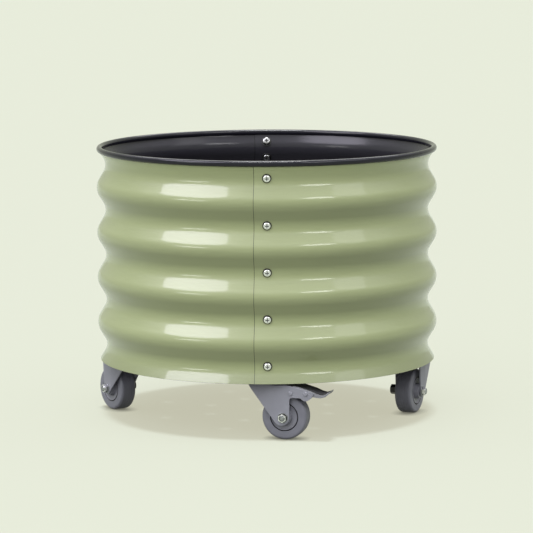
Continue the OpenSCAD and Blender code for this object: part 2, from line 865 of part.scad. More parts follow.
// The pad's face lies round the tyre when the pedal is down, and is drawn turned up about the pivot
function lifted(p) =
    let (q = p - pivot)
    pivot + [q.x * cos(brake_travel) - q.y * sin(brake_travel), q.x * sin(brake_travel) + q.y * cos(brake_travel)];
function skin_under(x) = lookup(x, pedal_line) - pedal_t - fit_gap;

module brake_pad(i) {
    face = [for (k = [0:bend_steps]) let (a = pad_from + (pad_to - pad_from) * k / bend_steps)
        lifted([trail, axle_z] + (wheel_r + pad_gap) * [cos(a), sin(a)])];
    high = face[len(face) - 1];
    low = face[0];
    crown_x = low.x - pad_crown;
    back = [for (x = [high.x, pedal_line[4].x, crown_x]) if (x <= crown_x) [x, skin_under(x)]];
    color(black)
        at_caster(i)
            side_plate(pad_w)
                polygon(concat(face, back, [[low.x, guide.y - guide_pin_d]]));
}

module brake_rivets(i) {
    color(caster_grey)
        at_caster(i)
            for (pin = [[pivot, pivot_pin_d], [guide, guide_pin_d]]) {
                cross_pin(pin[0], pin[1] / 2, fork_w + rivet_head_h);
                for (turn = [0, 180])
                    translate([pin[0].x, 0, pin[0].y])
                        rotate([0, 0, turn])
                            translate([0, fork_w / 2 + fit_gap, 0])
                                rotate([-90, 0, 0])
                                    rotate_extrude($fn = 40)
                                        polygon(rounded([[0, 0, 0], [rivet_head_d / 2, 0, 0],
                                            [rivet_head_d / 2, rivet_head_h, 0.9 * rivet_head_h],
                                            [0, rivet_head_h, 0]]));
            }
}

module brake_spring(i) {
    color(zinc)
        at_caster(i)
            side_plate(spring_w)
                polygon(concat(spring_line, backwards([for (p = spring_line) [p.x, p.y - spring_t]])));
}

panel_right();
panel_left();
rim_edging();
seam_bolts();
seam_washers();
seam_nuts();
base_pan();
cross_plate();
swivel_bolts();
swivel_washers();
swivel_nuts();
race_cup(0);  // race_cup_front
race_cup(1);  // race_cup_right
race_cup(2);  // race_cup_back
race_cup(3);  // race_cup_left
race_balls(0);  // race_balls_front
race_balls(1);  // race_balls_right
race_balls(2);  // race_balls_back
race_balls(3);  // race_balls_left
fork(0, true);  // fork_front
fork(1, false);  // fork_right
fork(2, true);  // fork_back
fork(3, false);  // fork_left
sleeve(0);  // sleeve_front
sleeve(1);  // sleeve_right
sleeve(2);  // sleeve_back
sleeve(3);  // sleeve_left
axle_bolt(0);  // axle_bolt_front
axle_bolt(1);  // axle_bolt_right
axle_bolt(2);  // axle_bolt_back
axle_bolt(3);  // axle_bolt_left
axle_nut(0);  // axle_nut_front
axle_nut(1);  // axle_nut_right
axle_nut(2);  // axle_nut_back
axle_nut(3);  // axle_nut_left
hub(0);  // hub_front
hub(1);  // hub_right
hub(2);  // hub_back
hub(3);  // hub_left
tyre(0);  // tyre_front
tyre(1);  // tyre_right
tyre(2);  // tyre_back
tyre(3);  // tyre_left
brake_pedal(0);  // brake_pedal_front
brake_pedal(2);  // brake_pedal_back
brake_pad(0);  // brake_pad_front
brake_pad(2);  // brake_pad_back
brake_rivets(0);  // brake_rivets_front
brake_rivets(2);  // brake_rivets_back
brake_spring(0);  // brake_spring_front
brake_spring(2);  // brake_spring_back
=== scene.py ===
# Looks of the rolling planter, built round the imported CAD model. Metres, +Z up, front is -Y.
import math
import bpy
import bmesh
from mathutils import Matrix, Vector


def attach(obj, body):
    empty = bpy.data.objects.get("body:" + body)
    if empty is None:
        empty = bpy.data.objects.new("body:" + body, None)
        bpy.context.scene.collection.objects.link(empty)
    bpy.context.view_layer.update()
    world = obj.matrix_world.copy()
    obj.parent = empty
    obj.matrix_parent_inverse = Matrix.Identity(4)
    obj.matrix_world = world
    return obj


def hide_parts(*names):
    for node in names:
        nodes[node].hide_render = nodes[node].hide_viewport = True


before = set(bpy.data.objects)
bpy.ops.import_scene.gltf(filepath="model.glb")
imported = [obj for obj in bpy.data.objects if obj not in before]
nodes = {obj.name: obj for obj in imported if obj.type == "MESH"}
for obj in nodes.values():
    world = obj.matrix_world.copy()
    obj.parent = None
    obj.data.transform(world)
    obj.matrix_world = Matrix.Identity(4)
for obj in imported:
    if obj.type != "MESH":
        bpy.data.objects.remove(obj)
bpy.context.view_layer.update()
corners = ["front", "right", "back", "left"]
print("frame loaded:", len(nodes), "nodes")

# Camera where the photograph's was, solved from the tub's rings
photoView = {
    "place": (0.0, -5.364, 0.9891),
    "pitch": 0.1346,
    "roll": -0.0046,
    "focalPixels": 3003,
    "framePixels": 533,
    "shiftPixels": -0.6,
    "sensor": 36.0,
    "clipEnd": 100,
}


def makeCamera(view):
    data = bpy.data.cameras.new("photoCamera")
    data.sensor_width = view["sensor"]
    data.lens = view["focalPixels"] / view["framePixels"] * view["sensor"]
    data.shift_x = view["shiftPixels"] / view["framePixels"]
    data.clip_end = view["clipEnd"]
    camera = bpy.data.objects.new("photoCamera", data)
    bpy.context.scene.collection.objects.link(camera)
    tilt = Matrix.Rotation(math.pi / 2 - view["pitch"], 4, "X")
    roll = Matrix.Rotation(view["roll"], 4, "Z")
    camera.matrix_world = Matrix.Translation(view["place"]) @ tilt @ roll
    bpy.context.scene.camera = camera


makeCamera(photoView)


# Adds a shader node: each input takes a value or the output of another node
def addNode(tree, kind, inputs=None, **settings):
    node = tree.nodes.new("ShaderNode" + kind)
    for key, value in settings.items():
        setattr(node, key, value)
    for key, value in (inputs or {}).items():
        if isinstance(value, bpy.types.NodeSocket):
            tree.links.new(value, node.inputs[key])
        else:
            node.inputs[key].default_value = value
    return node


def combine(tree, operation, first, second):
    return addNode(tree, "Math", {0: first, 1: second}, operation=operation).outputs[0]


def mixColor(tree, mask, first, second):
    first, second = ((*color, 1) if isinstance(color, tuple) else color for color in (first, second))
    return addNode(tree, "Mix", {"Factor": mask, "A": first, "B": second}, data_type="RGBA").outputs["Result"]


# Maps the span between two limits to the one from low to high, and holds what lies outside at its ends
def mapRange(tree, value, limits, low=0, high=1, curve="LINEAR"):
    inputs = {"Value": value, "From Min": limits[0], "From Max": limits[1], "To Min": low, "To Max": high}
    return addNode(tree, "MapRange", inputs, interpolation_type=curve).outputs["Result"]


# Studio: a pale seamless ground, a soft dome, large soft boxes and wide suns
studio = {
    "pale": (0.799, 0.831, 0.701),
    "ground": (0.186, 0.215, 0.205),
    "shadowTone": (0.977, 0.963, 0.751),
    "bounce": (0.055, 0.055, 0.05),
    "mirrorGround": (0.84, 0.86, 0.68),
    "mirrorBack": (0.66, 0.69, 0.56),
    "backEdge": (-0.3, 0.5),
    "domeLow": (0.34, 0.34, 0.33),
    "domeHigh": (1.60, 1.60, 1.60),
    "domeEdge": (0.40, 0.66),
    "domeStrength": 0.82,
    "floorHalf": 30.0,
    "floorLift": 0.55,
    "contactReach": 0.018,
    "contactTone": 0.25,
    "contactSamples": 8,
    "boxDistance": 9.0,
    "aim": (0, 0, 0.3),
}
softBoxes = {
    "keyLeft": {"azimuth": -63, "elevation": 46, "width": 6.9, "height": 5.0, "radiance": 6.2,
                "tint": (1.0, 0.96, 1.1)},
    "keyStrip": {"azimuth": -52, "elevation": 14, "width": 3.8, "height": 0.9, "radiance": 9.0},
    "lensRight": {"azimuth": 38, "elevation": 35, "width": 3.6, "height": 1.4, "radiance": 9.0},
    "fillRight": {"azimuth": 69, "elevation": 42, "width": 3.0, "height": 4.8, "radiance": 1.5},
    "overhead": {"azimuth": 0, "elevation": 88, "width": 4.6, "height": 1.8, "radiance": 36.0},
    "rimBack": {"azimuth": 180, "elevation": 48, "width": 9.0, "height": 3.0, "radiance": 4.0},
}
softSuns = {
    "sunFront": {"azimuth": -20, "elevation": 32, "strength": 0.35, "spread": 60},
    "sunAbove": {"azimuth": -30, "elevation": 84, "strength": 0.36, "spread": 30},
    "sunLeft": {"azimuth": -100, "elevation": 15, "strength": 0.14, "spread": 50},
    "sunRight": {"azimuth": 100, "elevation": 15, "strength": 0.10, "spread": 50},
}
# Lights the floor alone, so that the planter's shadow on it has an edge
floorSun = {"azimuth": -20, "elevation": 86, "strength": 1.6, "spread": 10}


# Direction to a lamp: its azimuth starts at the front and grows to the right
def towards(lamp):
    side, rise = math.radians(lamp["azimuth"]), math.radians(lamp["elevation"])
    return Vector((math.sin(side) * math.cos(rise), -math.cos(side) * math.cos(rise), math.sin(rise)))


def newLamp(name, kind, direction):
    data = bpy.data.lights.new(name, kind)
    lamp = bpy.data.objects.new(name, data)
    bpy.context.scene.collection.objects.link(lamp)
    lamp.rotation_euler = direction.to_track_quat("Z", "Y").to_euler()
    return lamp, data


# Seen only as a reflection: its energy gives the asked radiance over its ellipse
def makeSoftBox(name, box, look):
    direction = towards(box)
    lamp, data = newLamp(name, "AREA", direction)
    data.shape = "ELLIPSE"
    data.size = box["width"]
    data.size_y = box["height"]
    data.energy = box["radiance"] * math.pi * math.pi / 4 * box["width"] * box["height"]
    data.color = box.get("tint", (1, 1, 1))
    lamp.location = Vector(look["aim"]) + direction * look["boxDistance"]
    lamp.visible_diffuse = False


# Lights without a reflection
def makeSun(name, sun):
    lamp, data = newLamp(name, "SUN", towards(sun))
    data.energy = sun["strength"] * math.pi
    data.angle = math.radians(sun["spread"])
    data.specular_factor = 0
    lamp.visible_glossy = False
    return lamp


def makeWorld(look):
    world = bpy.data.worlds.new("studio")
    world.use_nodes = True
    tree = world.node_tree
    tree.nodes.clear()
    path = addNode(tree, "LightPath").outputs
    split = addNode(tree, "SeparateXYZ", {0: addNode(tree, "TexCoord").outputs["Generated"]}).outputs
    back = mapRange(tree, split["Y"], look["backEdge"], curve="SMOOTHSTEP")
    mirrored = mixColor(tree, back, look["pale"], look["mirrorBack"])
    low = mixColor(tree, path["Is Glossy Ray"], look["domeLow"], mirrored)
    height = mapRange(tree, split["Z"], look["domeEdge"], curve="SMOOTHSTEP")
    color = mixColor(tree, height, low, look["domeHigh"])
    dome = addNode(tree, "Background", {"Color": color, "Strength": look["domeStrength"]})
    pale = addNode(tree, "Background", {"Color": (*look["pale"], 1)})
    mix = addNode(tree, "MixShader", {"Fac": path["Is Camera Ray"], 1: dome.outputs[0], 2: pale.outputs[0]})
    addNode(tree, "OutputWorld", {"Surface": mix.outputs[0]})
    bpy.context.scene.world = world


# The floor glows a little to the camera and to mirrors, less so close under the wheels
def makeFloor(look):
    half = look["floorHalf"]
    mesh = bpy.data.meshes.new("floor")
    mesh.from_pydata([(-half, -half, 0), (half, -half, 0), (half, half, 0), (-half, half, 0)], [], [(0, 1, 2, 3)])
    floor = bpy.data.objects.new("floor", mesh)
    bpy.context.scene.collection.objects.link(floor)
    material = bpy.data.materials.new("paleFloor")
    material.use_nodes = True
    tree = material.node_tree
    tree.nodes.clear()
    path = addNode(tree, "LightPath").outputs
    seen = combine(tree, "MAXIMUM", path["Is Camera Ray"], path["Is Glossy Ray"])
    ground = addNode(tree, "BsdfDiffuse", {"Color": mixColor(tree, seen, look["bounce"], look["ground"])})
    contact = addNode(tree, "AmbientOcclusion", {"Distance": look["contactReach"]}, samples=look["contactSamples"])
    glow = addNode(tree, "Emission", {
        "Color": mixColor(tree, path["Is Glossy Ray"], look["shadowTone"], look["mirrorGround"]),
        "Strength": mapRange(tree, contact.outputs["AO"], (0, 1), look["contactTone"])})
    lift = combine(tree, "MULTIPLY", seen, look["floorLift"])
    mix = addNode(tree, "MixShader", {"Fac": lift, 1: ground.outputs[0], 2: glow.outputs[0]})
    addNode(tree, "OutputMaterial", {"Surface": mix.outputs[0]})
    mesh.materials.append(material)
    return floor


# The lamp lights one piece, and only the listed pieces throw a shadow in its light
def linkLight(lamp, piece, blockers):
    for kind, members in (("receiver_collection", [piece]), ("blocker_collection", blockers)):
        group = bpy.data.collections.new(lamp.name + kind)
        for member in members:
            group.objects.link(member)
        setattr(lamp.light_linking, kind, group)


makeWorld(studio)
floor = makeFloor(studio)
floorLamp = makeSun("floorSun", floorSun)
for name, box in softBoxes.items():
    makeSoftBox(name, box, studio)
for name, sun in softSuns.items():
    makeSun(name, sun)
bpy.context.scene.view_settings.view_transform = "Standard"
print("camera and studio made")

# Shader groups that the materials share: each gives only a mask or a normal
shading = {
    "bevelSamples": 4,
    "grainDetail": 3.0,
    "wearRadius": 0.0006,
    "wearSpread": 0.42,
    "wearEdge": (0.995, 0.86),
    "wearScale": 120.0,
    "wearDetail": 4.0,
    "wearFull": 0.75,
    "dustScale": 25.0,
    "dustDetail": 6.0,
    "dustFacing": (0.55, 0.98),
    "dustPatch": (0.35, 0.75),
    "upwardEdge": (0.3, 0.6),
}


def newGroup(name, inputs, outputs):
    group = bpy.data.node_groups.new(name, "ShaderNodeTree")
    for label, value in inputs.items():
        kind = "NodeSocketVector" if isinstance(value, tuple) else "NodeSocketFloat"
        group.interface.new_socket(label, in_out="INPUT", socket_type=kind).default_value = value
    for label, kind in outputs.items():
        group.interface.new_socket(label, in_out="OUTPUT", socket_type="NodeSocket" + kind)
    return group, group.nodes.new("NodeGroupInput").outputs, group.nodes.new("NodeGroupOutput").inputs


def addNoise(group, scale, detail, stretch=(1, 1, 1)):
    coords = addNode(group, "TexCoord").outputs["Object"]
    place = addNode(group, "VectorMath", {0: coords, 1: stretch}, operation="MULTIPLY").outputs[0]
    return addNode(group, "TexNoise", {"Vector": place, "Scale": scale, "Detail": detail}).outputs["Fac"]


def addBevel(group, radius):
    return addNode(group, "Bevel", {"Radius": radius}, samples=shading["bevelSamples"]).outputs["Normal"]


def makeGrain(name, softEdge):
    group, take, give = newGroup(name, {
        "Scale": 1.0, "Detail": shading["grainDetail"], "Strength": 0.0, "Depth": 0.0, "Stretch": (1, 1, 1),
        "Edge": 0.0}, {"Mask": "Float", "Normal": "Vector"})
    noise = addNoise(group, take["Scale"], take["Detail"], take["Stretch"])
    bump = addNode(group, "Bump", {"Strength": take["Strength"], "Distance": take["Depth"], "Height": noise})
    if softEdge:
        group.links.new(addBevel(group, take["Edge"]), bump.inputs["Normal"])
    group.links.new(noise, give["Mask"])
    group.links.new(bump.outputs["Normal"], give["Normal"])
    return group


# Patches along the edges, where the bevelled normal leaves the true one; their colour is wear and, on the pedal, a
# painted highlight line
def makeWearAndHighlight():
    group, take, give = newGroup("wear", {"Radius": shading["wearRadius"], "Spread": shading["wearSpread"]},
                                 {"Mask": "Float"})
    normal = addNode(group, "NewGeometry").outputs["Normal"]
    turn = addNode(group, "VectorMath", {0: addBevel(group, take["Radius"]), 1: normal}, operation="DOT_PRODUCT")
    edge = mapRange(group, turn.outputs["Value"], shading["wearEdge"])
    noise = addNoise(group, shading["wearScale"], shading["wearDetail"])
    patch = mapRange(group, noise, (take["Spread"], shading["wearFull"]))
    group.links.new(combine(group, "MULTIPLY", edge, patch), give["Mask"])
    return group


def addRise(group):
    normal = addNode(group, "NewGeometry").outputs["Normal"]
    return addNode(group, "SeparateXYZ", {0: normal}).outputs["Z"]


# Patches on the faces that look up
def makeDust():
    group, take, give = newGroup("dust", {"Amount": 0.0, "Scale": shading["dustScale"]}, {"Mask": "Float"})
    facing = mapRange(group, addRise(group), shading["dustFacing"])
    patch = mapRange(group, addNoise(group, take["Scale"], shading["dustDetail"]), shading["dustPatch"])
    mask = combine(group, "MULTIPLY", combine(group, "MULTIPLY", facing, patch), take["Amount"])
    group.links.new(mask, give["Mask"])
    return group


# Faces that look up: the mask for the pedal's painted shade on top
def makeUpward():
    low, high = shading["upwardEdge"]
    group, take, give = newGroup("upward", {"Low": low, "High": high}, {"Mask": "Float"})
    facing = mapRange(group, addRise(group), (take["Low"], take["High"]), curve="SMOOTHSTEP")
    group.links.new(facing, give["Mask"])
    return group


groups = {"grain": makeGrain("grain", False), "softGrain": makeGrain("softGrain", True), "wear": makeWearAndHighlight(),
          "dust": makeDust(), "upward": makeUpward()}

# Finishes: what all share, and which shader input takes which value of a look
finishing = {
    "blotchDetail": 4.0,
    "blotchEdge": (0.3, 0.7),
    "roughSwing": 0.1,
    "dustColor": (0.34, 0.32, 0.28),
    "inputs": {"metal": "Metallic", "specular": "Specular IOR Level", "coat": "Coat Weight",
               "coatRough": "Coat Roughness", "coatIor": "Coat IOR"},
}


# One procedural finish: a base colour with tone variation, painted light and shade from marks, painted shade on faces
# that look up, worn edges that are partly a painted highlight, dust and a fine grain
def finish(name, look):
    material = bpy.data.materials.new(name)
    material.use_nodes = True
    tree = material.node_tree
    shader = tree.nodes["Principled BSDF"]

    def use(group, **values):
        return addNode(tree, "Group", values, node_tree=groups[group]).outputs

    def given(**keys):
        return {label: look[key] for label, key in keys.items() if key in look}

    blotch = use("grain", Scale=look["blotchScale"], Detail=finishing["blotchDetail"])["Mask"]
    darker, lighter = (tuple(c * (1 + shade) for c in look["color"]) for shade in (-look["shade"], look["shade"]))
    color = mixColor(tree, mapRange(tree, blotch, finishing["blotchEdge"]), darker, lighter)
    smoother, rougher = (look["rough"] * (1 + swing) for swing in (-finishing["roughSwing"], finishing["roughSwing"]))
    rough = mapRange(tree, blotch, finishing["blotchEdge"], smoother, rougher)
    # Faces that look up take the top colour: painted shade for the pedal's shadowed top
    if "top" in look:
        color = mixColor(tree, use("upward")["Mask"], color, look["top"])
    # Marks on the mesh lay painted light and painted shade over the colour
    for label in ("film", "seam"):
        if label in look:
            mark = addNode(tree, "Attribute", attribute_name=label)
            color = mixColor(tree, mark.outputs["Fac"], color, look[label])
    # Edge colour: wear, and on the pedal also a painted highlight line
    if "worn" in look:
        edge = use("wear", **given(Radius="wornRadius", Spread="wornSpread"))
        color = mixColor(tree, edge["Mask"], color, look["worn"])
    if "dust" in look:
        dust = use("dust", **given(Amount="dust", Scale="dustScale"))["Mask"]
        color = mixColor(tree, dust, color, finishing["dustColor"])
        rough = combine(tree, "ADD", rough, dust)
    scale, strength, depth = look["grain"]
    fine = use("softGrain" if "edge" in look else "grain", Scale=scale, Strength=strength, Depth=depth,
               **given(Stretch="grainStretch", Edge="edge"))
    tree.links.new(color, shader.inputs["Base Color"])
    tree.links.new(rough, shader.inputs["Roughness"])
    tree.links.new(fine["Normal"], shader.inputs["Normal"])
    for key, label in finishing["inputs"].items():
        if key in look:
            shader.inputs[label].default_value = look[key]
    return material


nickel = {"metal": 1.0, "blotchScale": 300.0, "grain": (2600.0, 0.05, 0.0001)}
# Each look's 'seam' colour is painted shade, laid where a mesh's 'seam' mark is: along the wall's lap, in grooves,
# recesses and joints, and on the wall darker towards the bottom edge
looks = {
    # Enamel: its paler mark colour is painted light in the valleys and under the rim; its dark mark colour is painted
    # shade along the lap and darkens towards the bottom edge
    "sageEnamel": {"color": (0.366, 0.417, 0.213), "rough": 0.42, "specular": 0.4, "coat": 1.0, "coatRough": 0.07,
                   "coatIor": 1.42, "shade": 0.02, "blotchScale": 6.0, "grain": (30.0, 0.9, 0.0010),
                   "grainStretch": (0.5, 0.5, 2.0), "film": (0.549, 0.626, 0.32), "seam": (0.045, 0.055, 0.03)},
    "charcoalEnamel": {"color": (0.038, 0.037, 0.047), "rough": 0.2, "specular": 0.24, "shade": 0.06,
                       "blotchScale": 8.0, "grain": (40.0, 0.8, 0.0006), "grainStretch": (0.5, 0.5, 2.0),
                       "seam": (0.008, 0.008, 0.01)},
    "edgingPlastic": {"color": (0.015, 0.0145, 0.023), "rough": 0.1, "specular": 0.3, "shade": 0.05,
                      "blotchScale": 30.0, "grain": (1500.0, 0.04, 0.0001), "dust": 0.04},
    "charcoalPowder": {"color": (0.024, 0.024, 0.028), "rough": 0.5, "specular": 0.35, "shade": 0.08,
                       "blotchScale": 20.0, "grain": (1400.0, 0.25, 0.0002), "edge": 0.0008,
                       "worn": (0.12, 0.12, 0.125), "dust": 0.10, "dustScale": 14.0},
    "brightNickel": {**nickel, "color": (0.82, 0.82, 0.83), "rough": 0.17, "shade": 0.05,
                     "seam": (0.03, 0.03, 0.032)},
    "dullNickel": {**nickel, "color": (0.36, 0.36, 0.37), "rough": 0.26, "shade": 0.06, "seam": (0.02, 0.02, 0.022)},
    "nutSteel": {**nickel, "color": (0.88, 0.88, 0.90), "rough": 0.24, "shade": 0.05, "seam": (0.03, 0.03, 0.032)},
    "blackSeal": {"color": (0.018, 0.018, 0.019), "rough": 0.7, "shade": 0.1, "blotchScale": 160.0,
                  "grain": (2200.0, 0.3, 0.0001), "edge": 0.0003},
    "zincPlate": {"color": (0.34, 0.35, 0.37), "rough": 0.32, "metal": 1.0, "shade": 0.08, "blotchScale": 140.0,
                  "grain": (1800.0, 0.12, 0.0001), "edge": 0.0003, "seam": (0.03, 0.03, 0.034)},
    "casterGrey": {"color": (0.313, 0.317, 0.372), "rough": 0.42, "shade": 0.05, "blotchScale": 60.0,
                   "grain": (1300.0, 0.2, 0.0002), "edge": 0.0007, "worn": (0.52, 0.525, 0.56), "dust": 0.06},
    # Pedal: its dark top colour is painted shade on faces that look up, and its light edge colour is wear and a
    # painted highlight line
    "pedalGrey": {"color": (0.30, 0.305, 0.34), "rough": 0.4, "shade": 0.06, "blotchScale": 60.0,
                  "grain": (1300.0, 0.2, 0.0002), "edge": 0.0007, "worn": (0.55, 0.555, 0.59),
                  "wornRadius": 0.0011, "wornSpread": 0.2, "top": (0.040, 0.040, 0.046), "dust": 0.05},
    "blackOxide": {"color": (0.012, 0.012, 0.014), "rough": 0.38, "specular": 0.6, "shade": 0.2,
                   "blotchScale": 200.0, "grain": (1700.0, 0.15, 0.0001), "worn": (0.09, 0.09, 0.095)},
    "hubGrey": {"color": (0.262, 0.265, 0.312), "rough": 0.42, "shade": 0.04, "blotchScale": 90.0,
                "grain": (1700.0, 0.15, 0.0001), "seam": (0.012, 0.012, 0.014)},
    "treadGrey": {"color": (0.230, 0.233, 0.282), "rough": 0.46, "shade": 0.05, "blotchScale": 70.0,
                  "grain": (1500.0, 0.22, 0.0002), "seam": (0.012, 0.012, 0.014), "dust": 0.05},
}
finishes = {name: finish(name, look) for name, look in looks.items()}
print("finishes made:", len(finishes))

# Angles in degrees over which an edge shows sharp, on the sheet and bead and on the turned pieces
sharp = {"sheet": 40, "turned": 35}


# Dresses a finished mesh, which takes the place of one CAD node on the same body
def newPiece(name, mesh, sharpAngle, materials, body, node):
    mesh.polygons.foreach_set("use_smooth", [True] * len(mesh.polygons))
    mesh.set_sharp_from_angle(angle=math.radians(sharpAngle))
    piece = bpy.data.objects.new(name, mesh)
    bpy.context.scene.collection.objects.link(piece)
    for material in materials:
        mesh.materials.append(finishes[material])
    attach(piece, body)
    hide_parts(node)
    return piece


def newMesh(name, points, faces, kinds):
    mesh = bpy.data.meshes.new(name)
    mesh.from_pydata(points, [], faces)
    mesh.polygons.foreach_set("material_index", kinds)
    mesh.update()
    return mesh


# Adds the given loops of points as faces, and turns all faces outwards
def closeMesh(mesh, loops=()):
    shape = bmesh.new()
    shape.from_mesh(mesh)
    shape.verts.ensure_lookup_table()
    for loop in loops:
        shape.faces.new([shape.verts[k] for k in loop])
    bmesh.ops.recalc_face_normals(shape, faces=shape.faces)
    shape.to_mesh(mesh)
    shape.free()


def markPoints(mesh, label, values):
    mesh.attributes.new(label, "FLOAT", "POINT").data.foreach_set("value", values)


# A skin over closed rings of points, from the first ring to the last
def ringMesh(name, rows, kindOf):
    count = len(rows[0])
    faces, kinds = [], []
    for i in range(len(rows) - 1):
        for j in range(count):
            low, high, after = i * count, (i + 1) * count, (j + 1) % count
            faces.append((low + j, low + after, high + after, high + j))
            kinds.append(kindOf(j))
    return newMesh(name, [point for row in rows for point in row], faces, kinds)


def clamp(value):
    return min(max(value, 0), 1)


def ease(value):
    return value * value * (3 - 2 * value)


# Wall: the CAD's corrugation with finer arcs
wall = {
    "crestRadius": 0.305, "sheet": 0.0008, "pitch": 0.0809, "depth": 0.0155, "waves": 4, "flank": 31,
    "skirtZ": 0.1, "skirtFlank": 0.015, "lipFlank": 0.0058, "lipEnd": 4, "lap": 0.043, "lapGap": 0.00015,
    "arcSteps": 14, "turnSteps": 220, "edgeStrip": 0.0012, "stripSteps": (-1, -0.5, 0, 0.5, 1),
    "stripShift": 0.25, "stripHalf": 0.6, "filmFrom": 0.65, "filmLean": 0.35, "filmValley": 0.29,
    "filmLip": 1.0, "lipFade": 0.016, "skirtGrime": 0.3,
}
flank = math.radians(wall["flank"])
waveR = (wall["pitch"] / 2 * math.tan(flank) - wall["depth"]) / (2 * (1 / math.cos(flank) - 1))
crestR = wall["crestRadius"] - wall["sheet"] / 2
valleyR = crestR - wall["depth"]
valleyZ0 = wall["skirtZ"] + waveR * math.sin(flank) + wall["skirtFlank"] * math.cos(flank)
lapShift = (wall["sheet"] / math.cos(flank) + wall["lapGap"]) / 2
lapAngle = wall["lap"] / valleyR


# Points of the wall's middle line: radius, height and the slope of the outward normal
def valleyPoint(k, a):
    return (valleyR + waveR - waveR * math.cos(a), valleyZ0 + k * wall["pitch"] + waveR * math.sin(a), -a)


def crestPoint(k, a):
    return (crestR - waveR + waveR * math.cos(a), valleyZ0 + (k + 0.5) * wall["pitch"] + waveR * math.sin(a), a)


def slideAlong(p, side, length):
    return (p[0] + length * math.sin(flank), p[1] + side * length * math.cos(flank), p[2])


def wallLine():
    steps = wall["arcSteps"]
    bend = [-flank + 2 * flank * i / steps for i in range(steps + 1)]
    line = [slideAlong(valleyPoint(0, -flank), -1, wall["skirtFlank"])]
    for k in range(wall["waves"] + 1):
        line += [valleyPoint(k, a) for a in bend]
        if k < wall["waves"]:
            line += [crestPoint(k, a) for a in bend]
    start = slideAlong(valleyPoint(wall["waves"], flank), 1, wall["lipFlank"])
    centre = (start[0] - waveR * math.cos(flank), start[1] + waveR * math.sin(flank))
    end = math.radians(wall["lipEnd"])
    for i in range(steps + 1):
        a = -flank + (flank - end) * i / steps
        line.append((centre[0] + waveR * math.cos(a), centre[1] + waveR * math.sin(a), a))
    return line


middleLine = wallLine()


def beside(p, offset):
    return (p[0] + offset * math.cos(p[2]), p[1] + offset * math.sin(p[2]))


# Painted light: the enamel's colour is paler in the valleys, above all on their lower side, and under the rim
def paintedLightAt(p):
    rise = clamp(((crestR - p[0]) / wall["depth"] - wall["filmFrom"]) / (1 - wall["filmFrom"]))
    lean = 1 + wall["filmLean"] * math.sin(p[2]) / math.sin(flank)
    film = wall["filmValley"] * ease(rise) * lean
    lip = clamp((p[1] - valleyZ0 - wall["waves"] * wall["pitch"]) / wall["lipFade"])
    return film + (wall["filmLip"] - film) * ease(lip)


# Darker towards the bottom edge
def skirtGrime(p):
    return wall["skirtGrime"] * max(0, 1 - (p[1] - wall["skirtZ"]) / (valleyZ0 - wall["skirtZ"]))


def wallPanel(name, side, node):
    half, count, steps = wall["sheet"] / 2, len(middleLine), wall["turnSteps"]
    section = [beside(p, half) for p in middleLine] + [beside(p, -half) for p in reversed(middleLine)]
    low, high = -math.pi / 2 - lapAngle / 2, math.pi / 2 + lapAngle / 2
    angles = [low + (high - low) * i / steps for i in range(steps + 1)]
    # Extra columns beside the edge of the other panel carry painted shade along the lap
    tucked, covered, strip = high - lapAngle, low + lapAngle, wall["edgeStrip"] / valleyR
    angles = sorted(angles + [edge + step * strip for edge in (tucked, covered) for step in wall["stripSteps"]])
    turn = Matrix.Rotation(math.pi * side, 4, "Z")
    skirtDark = [skirtGrime(p) for p in middleLine]
    film = [paintedLightAt(p) for p in middleLine] + [0.0] * count
    shift, reach = strip * wall["stripShift"], strip * wall["stripHalf"]
    rows, lapShadeAndSkirtDark = [], []
    for angle in angles:
        rows.append([turn @ Vector((r * math.cos(angle), r * math.sin(angle) - lapShift, z)) for r, z in section])
        outside = float(abs(angle - tucked + shift) < reach)
        inside = float(abs(angle - covered - shift) < reach)
        lapShadeAndSkirtDark += [max(outside, value) for value in skirtDark] + [inside] * count
    mesh = ringMesh(name, rows, lambda j: 0 if j < count - 1 else 1)
    closeMesh(mesh, [[base + k for k in (j, j + 1, 2 * count - 2 - j, 2 * count - 1 - j)]
                     for base in (0, (len(rows) - 1) * len(section)) for j in range(count - 1)])
    markPoints(mesh, "seam", lapShadeAndSkirtDark)
    markPoints(mesh, "film", film * len(rows))
    return newPiece(name, mesh, sharp["sheet"], ["sageEnamel", "charcoalEnamel"], "tub", node)


wallPieces = [wallPanel("panelRight", 0, "panel_right"), wallPanel("panelLeft", 1, "panel_left")]
print("wall panels made")

# Edging: a round bead with a slot, closed by a small joint at the back
edging = {"thick": 0.0106, "cover": 0.0031, "seat": 0.0003, "slotIn": 0.0025, "slotOut": 0.0014, "roundSteps": 40,
          "turnSteps": 240, "butt": 0.0002}


def edgingBead():
    lipR, lipZ = middleLine[-1][0], middleLine[-1][1]
    radius, steps = edging["thick"] / 2, edging["turnSteps"]
    centreZ = lipZ + edging["seat"] + edging["cover"] - radius
    leftX, rightX, topZ = -edging["slotIn"], edging["slotOut"], lipZ + edging["seat"] - centreZ
    first = -math.acos(rightX / radius)
    last = -math.acos(leftX / radius) + 2 * math.pi
    section = [(rightX, topZ)]
    for i in range(edging["roundSteps"] + 1):
        a = first + (last - first) * i / edging["roundSteps"]
        section.append((radius * math.cos(a), radius * math.sin(a)))
    section.append((leftX, topZ))
    gap = edging["butt"] / 2 / lipR
    rows = []
    for i in range(steps + 1):
        angle = math.pi / 2 + gap + (2 * math.pi - 2 * gap) * i / steps
        rows.append([Vector(((lipR + x) * math.cos(angle), (lipR + x) * math.sin(angle), centreZ + z))
                     for x, z in section])
    mesh = ringMesh("edgingBead", rows, lambda j: 0)
    closeMesh(mesh, [range(base, base + len(section)) for base in (0, steps * len(section))])
    return newPiece("edgingBead", mesh, sharp["sheet"], ["edgingPlastic"], "tub", "rim_edging")


wallPieces.append(edgingBead())
print("edging made")


